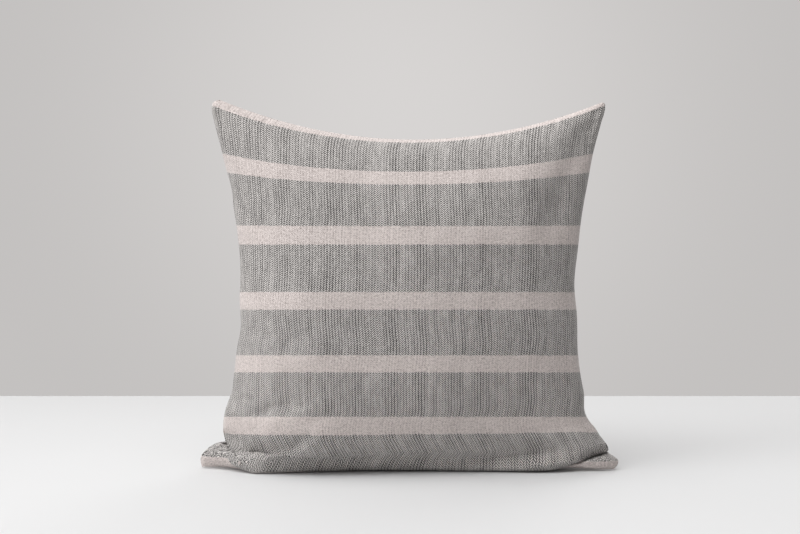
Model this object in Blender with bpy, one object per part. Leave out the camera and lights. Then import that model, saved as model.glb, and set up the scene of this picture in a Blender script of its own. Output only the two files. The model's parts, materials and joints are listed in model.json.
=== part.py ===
"""Square throw pillow: a woven cover with a zip across its back, around a stuffed insert.

Metres, +Z up. The pillow stands on its bottom edge at z = 0 and its front faces -Y.
The seam that joins the front to the back lies in the plane y = 0.
"""
import math

import bmesh
import bpy
from mathutils import Vector

# Outline of the stuffed cover, along its seam.
HEIGHT = 0.404            # floor to the tips of the top corners
TOP_SAG = 0.041           # dip of the top seam between its corners
TOP_HALF = 0.2175         # half width at the top corners
WAIST_HALF = 0.186        # half width where the sides pull in most
FOOT_HALF = 0.200         # half width just above the bottom corners
EAR_HALF = 0.229          # half width at the tips of the bottom corners
EAR_RISE = 0.008          # height over which a bottom corner fades into the side
FOOT_SINK = 0.003         # how much of the bottom edge is pressed flat
CROWN = 0.078             # bulge of each face from the seam plane
FOOT_POWER = 0.5          # exponent of the bulge at the bottom, below 1 for a fuller foot
SEAM_GAP = 0.00055        # half of the seam's opening, which the thread lies in

# Layers, each measured inwards from the outside of the cover.
# "rim" is the distance at the seam, and "skin" the distance at the crown of a face.
COVER_RIM = 0.004
COVER_SKIN = 0.0012
INSERT_RIM = 0.014
INSERT_SKIN = 0.003
INSERT_RIM_INNER = 0.016
INSERT_SKIN_INNER = 0.0038
FILL_RIM = 0.0175
FILL_SKIN = 0.0044

# Zip across the back. It follows an arc about a vertical axis in front of it.
ZIP_Z = 0.085             # height of the zip's centre line
ZIP_CROWN = 0.067         # how far back the fabric lies at the middle of the zip
ZIP_RADIUS = 0.420        # radius of the fabric's outside along the zip
ZIP_AXIS_Y = ZIP_CROWN - ZIP_RADIUS
BAND_FLAT = 0.016         # half height of the back that follows the arc exactly
BAND_FADE = 0.030         # height over which it turns into the free bulge
BAND_END = 0.178          # half width of the back that follows the arc
BAND_END_FADE = 0.012
BAND_DRAW_IN = 1.2        # how much earlier it ends on a layer, per metre of its rim
SLOT_HALF = 0.0055        # half height of the open slot between the folded edges
SLOT_END = 0.157          # half length of the slot
SLOT_END_FADE = 0.010     # length over which its ends close
CLOSED_HALF = 0.0003      # half gap where the two back panels are sewn together
HEM_SKIN = 0.002          # thickness of the folded fabric beside the slot
HEM_HEIGHT = 0.015
HEM_FADE = 0.004
ZIP_RELIEF = 0.0045       # extra room for the zip between cover and insert

COIL_START = -0.152
COIL_END = 0.156
COIL_INNER = 0.0008
COIL_OUTER = 0.0027
COIL_TOP = -0.0002        # radial places are counted from the fabric's outside
COIL_BOTTOM = -0.0020
TAPE_END = 0.170
TAPE_OUTER = 0.013
TAPE_TOP = -0.0024
TAPE_BOTTOM = -0.0030
STITCH_OFFSET = 0.0085
STITCH_THICK = 0.00045
STITCH_END = 0.162
STOP_GAP = 0.0003
TOP_STOP_LENGTH = 0.003
BOTTOM_STOP_LENGTH = 0.004
STOP_OUTER = 0.0029

SLIDER_PLACE = 0.1495     # distance of the closed slider along the zip
SLIDER_HALF_LENGTH = 0.006
SLIDER_HALF_WIDTH = 0.0044
PLATE_TOP = (0.0003, 0.0013)
PLATE_BOTTOM = (-0.0042, -0.0033)
FLANGE_INNER = 0.0035
FLANGE_LOW = -0.0015
POST_HALF = 0.00045
POST_ALONG = (0.0030, 0.0055)
BRIDGE_HALF_LENGTH = 0.0041
BRIDGE_HALF_WIDTH = 0.0008
BRIDGE_BAR = (0.0036, 0.0044)
BRIDGE_LEG = 0.0010
WELD = 0.0002             # how far joined blocks reach into each other
TRIM = 0.00005            # how far they stay back from each other's faces

PULL_PIVOT = 0.00245      # radial place of the pull's axis
PULL_THICK = 0.0012
PULL_LENGTH = 0.026
PULL_HALF_WIDTH = 0.0034
PULL_CORNER = 0.0014
EYE_START = 0.0006
EYE_END = 0.0050
EYE_HALF_WIDTH = 0.0013
EYE_CORNER = 0.0004

SEAM_THREAD_RADIUS = 0.00025
OVERLOCK_RADIUS = 0.0008
OVERLOCK_RIM = 0.0054
SEAM_CORNER_CUT = 0.003
EDGING_CORNER_CUT = 0.02
LABEL_THICK = 0.0006
LABEL_SIZE = (0.028, 0.045)
LABEL_X = 0.1763
CARE_LABEL_Z = 0.172
INSERT_LABEL_Z = 0.200

# Steps of the meshes.
COVER_STEPS = 20
UPPER_STEPS = 13
LOWER_STEPS = 8
INSERT_STEPS = 14
SEAM_STEPS = 16
ARC_STEPS = 30
CORNER_STEPS = 4

COLOURS = {
    "woven_cover": ((0.235, 0.222, 0.213), 0.92, 0.0),
    "sewing_thread": ((0.46, 0.42, 0.40), 0.80, 0.0),
    "zip_tape": ((0.30, 0.285, 0.275), 0.85, 0.0),
    "zip_coil": ((0.33, 0.31, 0.30), 0.45, 0.0),
    "zip_metal": ((0.52, 0.51, 0.50), 0.32, 1.0),
    "insert_cloth": ((0.83, 0.82, 0.80), 0.90, 0.0),
    "fibre_fill": ((0.90, 0.90, 0.89), 0.95, 0.0),
    "label_satin": ((0.86, 0.85, 0.83), 0.50, 0.0),
}


def clear_scene():
    for thing in list(bpy.data.objects):
        bpy.data.objects.remove(thing)


def new_collection(name):
    collection = bpy.data.collections.new(name)
    bpy.context.scene.collection.children.link(collection)
    return collection


def new_material(name):
    colour, roughness, metallic = COLOURS[name]
    material = bpy.data.materials.new(name)
    material.use_nodes = True
    shader = material.node_tree.nodes["Principled BSDF"]
    shader.inputs["Base Color"].default_value = (*colour, 1.0)
    shader.inputs["Roughness"].default_value = roughness
    shader.inputs["Metallic"].default_value = metallic
    return material


def smooth(value):
    """Ease from 0 to 1 as value goes from 0 to 1."""
    value = min(1.0, max(0.0, value))
    return value * value * (3.0 - 2.0 * value)


def rounded(fraction):
    """Spread even steps so that they gather at both ends, as round a half circle."""
    return (1.0 - math.cos(math.pi * fraction)) / 2.0


# ---- shape of the pillow -------------------------------------------------------------

def half_width(height, rim):
    """Half width of the seam's outline at a height, drawn in by rim."""
    lift = 2.0 * height / HEIGHT - 1.0
    end_half = TOP_HALF if lift > 0.0 else FOOT_HALF
    ear = (EAR_HALF - FOOT_HALF) * math.exp(-max(0.0, height) / EAR_RISE)
    return WAIST_HALF + (end_half - WAIST_HALF) * lift * lift + ear - rim


def height_at(u, v, rim):
    """Height of the seam plane's point (u, v), before the foot is pressed flat."""
    across = 2.0 * u - 1.0
    top = HEIGHT - TOP_SAG * (1.0 - across * across) - rim
    bottom = rim - FOOT_SINK
    return bottom + (top - bottom) * v


def fraction_up(u, height, rim):
    """The v whose point is at a height, the reverse of height_at."""
    bottom = height_at(u, 0.0, rim)
    top = height_at(u, 1.0, rim)
    return (height - bottom) / (top - bottom)


def fullness(u, v):
    """Share of the crown's bulge at (u, v): 0 on the seam and 1 at the middle."""
    across = math.sqrt(max(0.0, 1.0 - (2.0 * u - 1.0) ** 2))
    up = math.sqrt(max(0.0, 1.0 - (2.0 * v - 1.0) ** 2))
    power = FOOT_POWER + (1.0 - FOOT_POWER) * smooth(2.0 * v)
    return across * up ** power


def zip_band(z):
    return 1.0 - smooth((abs(z - ZIP_Z) - BAND_FLAT) / BAND_FADE)


def zip_reach(x, rim):
    """Share of the arc at x: it fades out before each layer's own edge."""
    end = BAND_END - BAND_DRAW_IN * rim
    return 1.0 - smooth((abs(x) - end) / BAND_END_FADE)


def front_point(u, v, rim, skin, gap=SEAM_GAP):
    height = height_at(u, v, rim)
    x = (2.0 * u - 1.0) * half_width(height, rim)
    z = max(skin, height)
    depth = gap + (CROWN - skin) * fullness(u, v)
    return Vector((x, -depth, z))


def back_point(u, v, rim, skin, gap=SEAM_GAP):
    """As front_point, but the back follows the zip's arc beside the zip."""
    height = height_at(u, v, rim)
    x = (2.0 * u - 1.0) * half_width(height, rim)
    z = max(skin, height)
    free = gap + (CROWN - skin) * fullness(u, v)
    arc = ZIP_AXIS_Y + math.sqrt((ZIP_RADIUS - skin) ** 2 - x * x)
    depth = free + (arc - free) * zip_band(z) * zip_reach(x, rim)
    return Vector((x, depth, z))


def insert_skin(u, v, rim, skin):
    """The insert lies deeper behind the zip."""
    return skin + ZIP_RELIEF * zip_band(height_at(u, v, rim))


def hem_skin(z):
    """Thickness of a back panel, which is folded double beside the zip."""
    return COVER_SKIN + (HEM_SKIN - COVER_SKIN) * (1.0 - smooth((abs(z - ZIP_Z) - HEM_HEIGHT) / HEM_FADE))


# ---- mesh tools ----------------------------------------------------------------------

def finish_mesh(bm, name, material, collection):
    bmesh.ops.recalc_face_normals(bm, faces=bm.faces[:])
    if bm.calc_volume(signed=True) < 0.0:
        bmesh.ops.reverse_faces(bm, faces=bm.faces[:])
    mesh = bpy.data.meshes.new(name)
    bm.to_mesh(mesh)
    bm.free()
    mesh.materials.append(material)
    mesh.shade_smooth()
    mesh.set_sharp_from_angle(angle=math.radians(40.0))
    thing = bpy.data.objects.new(name, mesh)
    collection.objects.link(thing)
    return thing


def add_sheet(bm, columns, rows, place):
    """A grid of columns by rows faces, with place(i, j) for each vertex."""
    made = bmesh.ops.create_grid(bm, x_segments=columns, y_segments=rows, size=0.5)
    column_layer = bm.verts.layers.int["column"]
    row_layer = bm.verts.layers.int["row"]
    for vert in made["verts"]:
        column = round((vert.co.x + 0.5) * columns)
        row = round((vert.co.y + 0.5) * rows)
        vert[column_layer] = column
        vert[row_layer] = row
        vert.co = place(column, row)


def new_bmesh():
    bm = bmesh.new()
    bm.verts.layers.int.new("column")
    bm.verts.layers.int.new("row")
    return bm


def shell(name, columns, rows, outside, inside, material, collection):
    """A sheet of fabric: its outside, extruded inwards to its inside."""
    bm = new_bmesh()
    add_sheet(bm, columns, rows, outside)
    column_layer = bm.verts.layers.int["column"]
    row_layer = bm.verts.layers.int["row"]
    grown = bmesh.ops.extrude_face_region(bm, geom=bm.faces[:], use_keep_orig=True)
    for item in grown["geom"]:
        if isinstance(item, bmesh.types.BMVert):
            item.co = inside(item[column_layer], item[row_layer])
    return finish_mesh(bm, name, material, collection)


def closed_form(name, steps, front, back, material, collection):
    """Two sheets that share their edges."""
    bm = new_bmesh()
    add_sheet(bm, steps, steps, front)
    add_sheet(bm, steps, steps, back)
    bmesh.ops.remove_doubles(bm, verts=bm.verts[:], dist=0.00001)
    return finish_mesh(bm, name, material, collection)


def block(name, low, high, material, collection):
    bm = bmesh.new()
    cube = bmesh.ops.create_cube(bm, size=1.0)
    for vert in cube["verts"]:
        for axis in range(3):
            vert.co[axis] = high[axis] if vert.co[axis] > 0.0 else low[axis]
    return finish_mesh(bm, name, material, collection)


def arc_bar(name, along, radial, rise, material, collection):
    """A bar along the zip, between two places along, across and out from it."""
    bm = bmesh.new()
    bmesh.ops.create_cube(bm, size=1.0)
    long_edges = [edge for edge in bm.edges if abs(edge.verts[0].co.x - edge.verts[1].co.x) > 0.5]
    bmesh.ops.subdivide_edges(bm, edges=long_edges, cuts=ARC_STEPS - 1, use_grid_fill=True)
    for vert in bm.verts:
        place = along[0] + (along[1] - along[0]) * (vert.co.x + 0.5)
        out = radial[0] + (radial[1] - radial[0]) * (vert.co.y + 0.5)
        up = rise[0] + (rise[1] - rise[0]) * (vert.co.z + 0.5)
        angle = place / ZIP_RADIUS
        reach = ZIP_RADIUS + out
        vert.co = (reach * math.sin(angle), ZIP_AXIS_Y + reach * math.cos(angle), ZIP_Z + up)
    return finish_mesh(bm, name, material, collection)


def closed_tube(name, points, radius, material, collection):
    curve = bpy.data.curves.new(name, "CURVE")
    curve.dimensions = "3D"
    curve.bevel_depth = radius
    curve.bevel_resolution = 0
    spline = curve.splines.new("POLY")
    spline.points.add(len(points) - 1)
    for target, point in zip(spline.points, points):
        target.co = (*point, 1.0)
    spline.use_cyclic_u = True
    curve.materials.append(material)
    thing = bpy.data.objects.new(name, curve)
    collection.objects.link(thing)
    return thing


def seam_loop(rim, lowest, cut):
    """Points right round the seam plane, a distance inside the outline.

    cut is the share of each side that the loop leaves out where it turns a corner.
    """
    steps = [cut + (1.0 - 2.0 * cut) * rounded(step / SEAM_STEPS) for step in range(SEAM_STEPS)]
    sides = [(step, 0.0) for step in steps]
    sides += [(1.0, step) for step in steps]
    sides += [(1.0 - step, 1.0) for step in steps]
    sides += [(0.0, 1.0 - step) for step in steps]
    points = []
    for u, v in sides:
        height = height_at(u, v, rim)
        x = (2.0 * u - 1.0) * half_width(height, rim)
        points.append(Vector((x, 0.0, max(lowest, height))))
    return points


# ---- cover ---------------------------------------------------------------------------

def slot_edge(x):
    """Half height of the opening between the back panels at x."""
    closing = (abs(x) - SLOT_END) / SLOT_END_FADE
    return SLOT_HALF + (CLOSED_HALF - SLOT_HALF) * smooth(closing)


def panel_v(u, rim, row, rows, upward):
    """The v of a back panel's row, counted from the zip towards the seam."""
    offsets = (0.0, 0.0045, 0.0095, 0.020, 0.034)
    sign = 1.0 if upward else -1.0
    x = (2.0 * u - 1.0) * half_width(ZIP_Z, rim)
    start = min(row, len(offsets) - 1)
    height = ZIP_Z + sign * (slot_edge(x) + offsets[start])
    v = fraction_up(u, height, rim)
    if row > start:
        share = math.sin(math.pi / 2.0 * (row - start) / (rows - start))
        seam_v = 1.0 if upward else 0.0
        v = v + (seam_v - v) * share
    return v


def make_front_panel(material, collection):
    def outside(column, row):
        return front_point(rounded(column / COVER_STEPS), rounded(row / COVER_STEPS), 0.0, 0.0)

    def inside(column, row):
        u = rounded(column / COVER_STEPS)
        v = rounded(row / COVER_STEPS)
        return front_point(u, v, COVER_RIM, COVER_SKIN)

    shell("front_panel", COVER_STEPS, COVER_STEPS, outside, inside, material, collection)


def make_back_panel(name, rows, upward, material, collection):
    def outside(column, row):
        u = rounded(column / COVER_STEPS)
        return back_point(u, panel_v(u, 0.0, row, rows, upward), 0.0, 0.0)

    def inside(column, row):
        u = rounded(column / COVER_STEPS)
        v = panel_v(u, COVER_RIM, row, rows, upward)
        return back_point(u, v, COVER_RIM, hem_skin(height_at(u, v, COVER_RIM)))

    shell(name, COVER_STEPS, rows, outside, inside, material, collection)


def make_cover(materials, collection):
    make_front_panel(materials["woven_cover"], collection)
    make_back_panel("back_upper_panel", UPPER_STEPS, True, materials["woven_cover"], collection)
    make_back_panel("back_lower_panel", LOWER_STEPS, False, materials["woven_cover"], collection)
    thread = materials["sewing_thread"]
    seam = seam_loop(COVER_RIM / 2.0, COVER_SKIN / 2.0, SEAM_CORNER_CUT)
    closed_tube("cover_seam_thread", seam, SEAM_THREAD_RADIUS, thread, collection)
    edging = seam_loop(OVERLOCK_RIM, COVER_SKIN + OVERLOCK_RIM / 2.0, EDGING_CORNER_CUT)
    closed_tube("seam_overlock_thread", edging, OVERLOCK_RADIUS, thread, collection)


# ---- zip -----------------------------------------------------------------------------

def mirrored(span, sign):
    """A span of heights above the zip's centre line, or the same span below it."""
    return (sign * span[0], sign * span[1]) if sign > 0 else (sign * span[1], sign * span[0])


def make_zip_halves(materials, collection):
    tape_rise = (COIL_INNER, TAPE_OUTER)
    coil_rise = (COIL_INNER, COIL_OUTER)
    stop_rise = (COIL_INNER, STOP_OUTER)
    stitch_rise = (STITCH_OFFSET, STITCH_OFFSET + STITCH_THICK)
    stitch_out = (STOP_GAP, STOP_GAP + STITCH_THICK)
    stop_along = (COIL_END + STOP_GAP, COIL_END + STOP_GAP + TOP_STOP_LENGTH)
    coil_out = (COIL_BOTTOM, COIL_TOP)
    pieces = (
        ("zip_tape", (-TAPE_END, TAPE_END), (TAPE_BOTTOM, TAPE_TOP), tape_rise, "zip_tape"),
        ("zip_coil", (COIL_START, COIL_END), coil_out, coil_rise, "zip_coil"),
        ("zip_top_stop", stop_along, coil_out, stop_rise, "zip_metal"),
        ("zip_stitch", (-STITCH_END, STITCH_END), stitch_out, stitch_rise, "sewing_thread"),
    )
    for half, sign in (("upper", 1), ("lower", -1)):
        for name, along, out, rise, finish in pieces:
            arc_bar(f"{name}_{half}", along, out, mirrored(rise, sign), materials[finish], collection)


def make_bottom_stop(materials, collection):
    along = (COIL_START - STOP_GAP - BOTTOM_STOP_LENGTH, COIL_START - STOP_GAP)
    rise = (-STOP_OUTER, STOP_OUTER)
    out = (COIL_BOTTOM, COIL_TOP)
    arc_bar("zip_bottom_stop", along, out, rise, materials["zip_metal"], collection)


def slider_blocks():
    """Corners of the blocks that the slider is made of: along, out and up."""
    length = SLIDER_HALF_LENGTH
    width = SLIDER_HALF_WIDTH
    blocks = [
        ((-length, PLATE_BOTTOM[0], -width), (length, PLATE_BOTTOM[1], width)),
        (
            (POST_ALONG[0], PLATE_BOTTOM[1] - WELD, -POST_HALF),
            (POST_ALONG[1], PLATE_TOP[0] + WELD, POST_HALF),
        ),
        (
            (-BRIDGE_HALF_LENGTH, BRIDGE_BAR[0], -BRIDGE_HALF_WIDTH),
            (BRIDGE_HALF_LENGTH, BRIDGE_BAR[1], BRIDGE_HALF_WIDTH),
        ),
    ]
    leg_half_width = BRIDGE_HALF_WIDTH - TRIM
    leg_outer = BRIDGE_HALF_LENGTH - TRIM
    leg_low = PLATE_TOP[1] - WELD
    leg_high = BRIDGE_BAR[0] + WELD
    for sign in (1, -1):
        ends = sorted((sign * (leg_outer - BRIDGE_LEG), sign * leg_outer))
        blocks.append(((ends[0], leg_low, -leg_half_width), (ends[1], leg_high, leg_half_width)))
        sides = sorted((sign * FLANGE_INNER, sign * (width - TRIM)))
        flange_length = length - TRIM
        low = (-flange_length, FLANGE_LOW, sides[0])
        blocks.append((low, (flange_length, PLATE_TOP[0] + WELD, sides[1])))
    return blocks


def at_fabric(corner):
    """A slider corner, moved out from its parent's axis to the fabric's outside."""
    return (corner[0], corner[1] + ZIP_RADIUS, corner[2])


def add_child(thing, parent):
    thing.parent = parent
    return thing


def make_slider(materials, collection, cutters):
    """The slider turns about the axis of the zip's arc, so that is its origin."""
    axis = bpy.data.objects.new("slider_axis", None)
    axis.location = (0.0, ZIP_AXIS_Y, ZIP_Z)
    axis.rotation_euler = (0.0, 0.0, -SLIDER_PLACE / ZIP_RADIUS)
    collection.objects.link(axis)
    metal = materials["zip_metal"]
    low = (-SLIDER_HALF_LENGTH, PLATE_TOP[0], -SLIDER_HALF_WIDTH)
    high = (SLIDER_HALF_LENGTH, PLATE_TOP[1], SLIDER_HALF_WIDTH)
    slider = block("zip_slider", at_fabric(low), at_fabric(high), metal, collection)
    add_child(slider, axis)
    for number, (low, high) in enumerate(slider_blocks()):
        joined = block(f"slider_block_{number}", at_fabric(low), at_fabric(high), metal, cutters)
        add_child(joined, axis)
        joined.hide_render = True
        joined.display_type = "WIRE"
        union = slider.modifiers.new(f"union_{number}", "BOOLEAN")
        union.operation = "UNION"
        union.solver = "EXACT"
        union.object = joined
    return axis


def rounded_box(low, high, corner):
    """Outline of a rectangle with round corners, from its low and high corners."""
    points = []
    centres = (
        (high[0] - corner, high[1] - corner),
        (low[0] + corner, high[1] - corner),
        (low[0] + corner, low[1] + corner),
        (high[0] - corner, low[1] + corner),
    )
    for quarter, centre in enumerate(centres):
        for step in range(CORNER_STEPS + 1):
            angle = math.pi / 2.0 * (quarter + step / CORNER_STEPS)
            points.append((centre[0] + corner * math.cos(angle), centre[1] + corner * math.sin(angle)))
    return points


def add_outline(curve, points):
    spline = curve.splines.new("POLY")
    spline.points.add(len(points) - 1)
    for target, (x, y) in zip(spline.points, points):
        target.co = (x, y, 0.0, 1.0)
    spline.use_cyclic_u = True


def make_pull(slider_axis, materials, collection):
    """A flat tab with an eye. Its origin is on the bar that turns under the bridge."""
    curve = bpy.data.curves.new("zip_pull", "CURVE")
    curve.dimensions = "2D"
    curve.fill_mode = "BOTH"
    curve.extrude = PULL_THICK / 2.0
    outer = rounded_box((-EYE_START, -PULL_HALF_WIDTH), (PULL_LENGTH, PULL_HALF_WIDTH), PULL_CORNER)
    eye = rounded_box((EYE_START, -EYE_HALF_WIDTH), (EYE_END, EYE_HALF_WIDTH), EYE_CORNER)
    add_outline(curve, outer)
    add_outline(curve, eye)
    curve.materials.append(materials["zip_metal"])
    pull = bpy.data.objects.new("zip_pull", curve)
    pull.location = (0.0, ZIP_RADIUS + PULL_PIVOT, 0.0)
    pull.rotation_euler = (math.pi / 2.0, 0.0, math.pi)
    add_child(pull, slider_axis)
    collection.objects.link(pull)


# ---- insert and labels ---------------------------------------------------------------

def insert_place(point, rim, skin, column, row):
    u = rounded(column / INSERT_STEPS)
    v = rounded(row / INSERT_STEPS)
    return point(u, v, rim, skin if point is front_point else insert_skin(u, v, rim, skin))


def make_insert(materials, collection):
    halves = (("insert_shell_front", front_point), ("insert_shell_back", back_point))
    for name, point in halves:
        shell(
            name, INSERT_STEPS, INSERT_STEPS,
            lambda i, j, point=point: insert_place(point, INSERT_RIM, INSERT_SKIN, i, j),
            lambda i, j, point=point: insert_place(point, INSERT_RIM_INNER, INSERT_SKIN_INNER, i, j),
            materials["insert_cloth"], collection,
        )
    rim = (INSERT_RIM + INSERT_RIM_INNER) / 2.0
    loop = seam_loop(rim, rim - FOOT_SINK, SEAM_CORNER_CUT)
    thread = materials["sewing_thread"]
    closed_tube("insert_seam_thread", loop, SEAM_THREAD_RADIUS, thread, collection)


def make_fill(materials, collection):
    def place(point, column, row):
        u = rounded(column / INSERT_STEPS)
        v = rounded(row / INSERT_STEPS)
        skin = FILL_SKIN if point is front_point else insert_skin(u, v, FILL_RIM, FILL_SKIN)
        return point(u, v, FILL_RIM, skin, 0.0)

    closed_form(
        "insert_fill", INSERT_STEPS,
        lambda i, j: place(front_point, i, j),
        lambda i, j: place(back_point, i, j),
        materials["fibre_fill"], collection,
    )


def make_label(name, x, z, material, collection):
    half = (LABEL_THICK / 2.0, LABEL_SIZE[0] / 2.0, LABEL_SIZE[1] / 2.0)
    low = (x - half[0], -half[1], z - half[2])
    high = (x + half[0], half[1], z + half[2])
    block(name, low, high, material, collection)


def main():
    clear_scene()
    pieces = new_collection("throw_pillow")
    cutters = new_collection("joined_blocks")
    materials = {name: new_material(name) for name in COLOURS}
    make_cover(materials, pieces)
    make_zip_halves(materials, pieces)
    make_bottom_stop(materials, pieces)
    slider_axis = make_slider(materials, pieces, cutters)
    make_pull(slider_axis, materials, pieces)
    make_insert(materials, pieces)
    make_fill(materials, pieces)
    make_label("care_label", -LABEL_X, CARE_LABEL_Z, materials["label_satin"], pieces)
    make_label("insert_label", LABEL_X, INSERT_LABEL_Z, materials["label_satin"], pieces)


main()
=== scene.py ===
"""The looks of the throw pillow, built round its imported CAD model.

Metres, +Z up, in the CAD's own frame. The cover is simulated as cloth: two square
panels, sewn along a seam that is held in its stuffed shape, are inflated over a floor.
The settled faces are made finer, and then get their puckers, their broad unevenness and
the folds at the front's lower end by formula.
"""
import json
import math

import bmesh
import bpy
import numpy as np
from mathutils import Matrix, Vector


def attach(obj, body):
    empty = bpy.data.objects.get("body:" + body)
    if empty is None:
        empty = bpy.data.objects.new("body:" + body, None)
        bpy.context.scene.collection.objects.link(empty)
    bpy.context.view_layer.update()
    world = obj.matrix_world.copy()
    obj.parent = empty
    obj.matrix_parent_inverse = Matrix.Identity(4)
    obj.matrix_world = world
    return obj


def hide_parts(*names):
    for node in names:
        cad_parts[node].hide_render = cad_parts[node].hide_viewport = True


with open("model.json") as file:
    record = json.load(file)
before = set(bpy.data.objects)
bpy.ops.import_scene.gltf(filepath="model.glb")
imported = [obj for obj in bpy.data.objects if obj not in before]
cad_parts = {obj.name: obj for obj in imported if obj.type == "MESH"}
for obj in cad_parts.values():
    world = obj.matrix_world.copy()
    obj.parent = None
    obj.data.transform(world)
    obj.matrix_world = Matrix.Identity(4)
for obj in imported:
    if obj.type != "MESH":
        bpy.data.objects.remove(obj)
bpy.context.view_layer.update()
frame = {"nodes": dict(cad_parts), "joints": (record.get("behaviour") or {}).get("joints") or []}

MM = 0.001
CUT = 0.457                    # side of the square that each face was cut and sewn to
CUT_MM = CUT / MM
FACE_BULGE = 0.075             # bulge that the simulation starts from
FLOOR_GAP = 0.0011             # least height of the cloth above the floor

# The camera, and the place that the stripes look level from: as far as this from the
# plane of the side seams, and as high as this.
EYE_DISTANCE = 1.970
EYE_HEIGHT = 0.394
EYE_ASIDE = -0.0093
EYE_PITCH = 5.0                # degrees down
LENS = 81.3
FLOOR_END = 0.494              # where the floor ends behind the pillow

# The zip's arc, from the CAD: the joint gives its axis and height.
TRAVEL = next(joint for joint in frame["joints"] if joint["name"] == "zip_travel")
ZIP_AXIS_Y = TRAVEL["pos_m"][1]
ZIP_Z = TRAVEL["pos_m"][2]
ZIP_RADIUS = 0.420
SLOT_HALF = 0.0055             # half height of the open slot
SLOT_REACH = 0.157             # half length of the open slot
SLOT_CLOSING = 0.008
BAND_HALF = 0.014              # half height of the cloth that gathers beside the zip
CLOTH_ALONG_ZIP = 0.428        # arc along the zip that the whole width of the cloth covers
TAPE_REACH = 0.172             # half length of the cloth that lies on the zip tape
SLIDER_PLACE = 0.1495          # places along the arc
COIL_ENDS = (-0.152, 0.156)
TOP_STOPS_PLACE = 0.1578
BOTTOM_STOP_PLACE = -0.1543
TOPSTITCH_REACH = 0.1605
TACK_PLACE = 0.1620
TOPSTITCH_RISE = 0.0089        # height of the topstitching above and below the zip's middle

# Grid of the cloth.
COLUMNS = 64
LOW_ROWS = 20                  # rows below the zip's band
HIGH_ROWS = 46
ZIP_SHARE = 0.257              # share of the cloth's height that lies below the zip
FINE = 3                       # finished cells across each simulated cell

CLOTH_THICKNESS = 0.0006
LIP = 0.0008                   # each face's cloth stands this far off the seam
ALLOWANCE = 8.0                # cloth turned in along the seams, in millimetres

# Radii of the threads and lengths of the stitches.
COVER_THREAD, COVER_STITCH = 0.00022, 0.0029
TOP_THREAD = 0.00026
INSERT_THREAD, INSERT_STITCH = 0.00025, 0.0042
EDGING_STEP = 0.0011

# Weave, in millimetres of cloth.
WALE = 3.4                     # width of one upright rib of the herringbone
PICK = 2.5                     # height of one slanted float
STRIPE_HALF = 0.137            # half height of a pale stripe, as a share of the spacing
GATHERED = 0.94                # cloth shorter than this share of its flat size hides weave
TIGHT = 1.04                   # cloth longer than this share of it shows more weave

# The seam of the stuffed cover as it stands, as points (x, y, z) in millimetres.
LEFT_SEAM = (
    (-227.5, -8, 1.5), (-229, -6, 11), (-219, -3, 23), (-210, -1, 27), (-203.5, 1, 25),
    (-200.5, 3, 20), (-202, 3, 29), (-204.5, 1, 43), (-202.8, 0, 60), (-194.6, 0, 84),
    (-191.3, 0, 109), (-188, 0, 135), (-184.4, 0, 152), (-185.2, 0, 186), (-184.2, 0, 219),
    (-188.4, 0, 270), (-191.5, 0, 290), (-192.7, 0, 306), (-196.7, 0, 321), (-206.5, 0, 361),
    (-211.7, 0, 382), (-213.9, 0, 394), (-212.6, 0, 400.5), (-206.1, 0, 404.4),
)
RIGHT_SEAM = (
    (224.8, -20, 1.5), (229, -18, 6), (230, -17, 10), (226, -13, 14), (219, -4, 17.5),
    (219.5, -10, 21), (216.6, -8, 28.5), (211, -5, 35.5), (205.5, -2, 44.5), (200.5, 0, 50),
    (195, 0, 60), (193.4, 0, 82), (189.5, 0, 102), (186.4, 0, 127), (184.9, 0, 169),
    (181.8, 0, 202), (185.4, 0, 242), (189.4, 0, 279), (195.7, 0, 316), (200.8, 0, 345),
    (209.2, 0, 378), (213.6, 0, 396), (213.2, 0, 400), (210.9, 0, 401.5),
)
BOTTOM_SEAM = (
    (-227.5, -8, 1.5), (-206, -9, 1.5), (-187, -19, 1.5), (-172, -30, 1.5), (-150, -30, 1.5),
    (-120, -23, 2), (-66, -13, 2), (0, -10, 2), (70, -9, 2), (140, -8, 2), (178, -15, 1.5),
    (203, -20, 1.5), (224.8, -20, 1.5),
)
TOP_SAG = 42.0
# How the front's lower end stands, as (share across, share up, x, y, z): the hidden creases
# behind the body's edge at the two ears, between them the seam itself; the body's lower
# edge, which rests on the floor between the ears; and the body above that edge. Each line
# runs from the left side seam to the right one. A point without a place is on a seam.
CREASES = (
    (0.0, 0.113), (0.0375, 0.085, -194, -1, 15), (0.075, 0.0565, -190, -9, 9),
    (0.1125, 0.028, -180, -20, 4), (0.150, 0.0), (0.25, 0.0), (0.36, 0.0), (0.5, 0.0),
    (0.65, 0.0), (0.75, 0.0), (0.83, 0.0), (0.8725, 0.0168, 173, -12, 5.5),
    (0.915, 0.0335, 189, -12, 9), (0.9575, 0.050, 203, -6, 12.5), (1.0, 0.067),
)
CREASE_ON_SEAM = (0.15, 0.83)  # shares across between which the crease is the bottom seam
LOWER_EDGE = (
    (0.0, 0.136), (0.040, 0.103, -197.6, -8, 20), (0.078, 0.073, -197, -17, 11.5),
    (0.118, 0.044, -186, -27, 5), (0.155, 0.033, -170, -39, 2), (0.20, 0.030, -147, -39, 1.4),
    (0.25, 0.029, -121, -35, 1.4), (0.36, 0.036, -71, -29, 1.4), (0.5, 0.039, -6, -27, 1.4),
    (0.65, 0.041, 64, -27, 1.4), (0.75, 0.048, 110, -30, 1.6), (0.82, 0.058, 143, -33, 3.2),
    (0.85, 0.061, 157, -33, 5), (0.885, 0.062, 174.5, -29, 9), (0.92, 0.062, 190, -22, 11.7),
    (0.955, 0.070, 203, -14, 15.2), (1.0, 0.082),
)
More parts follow.
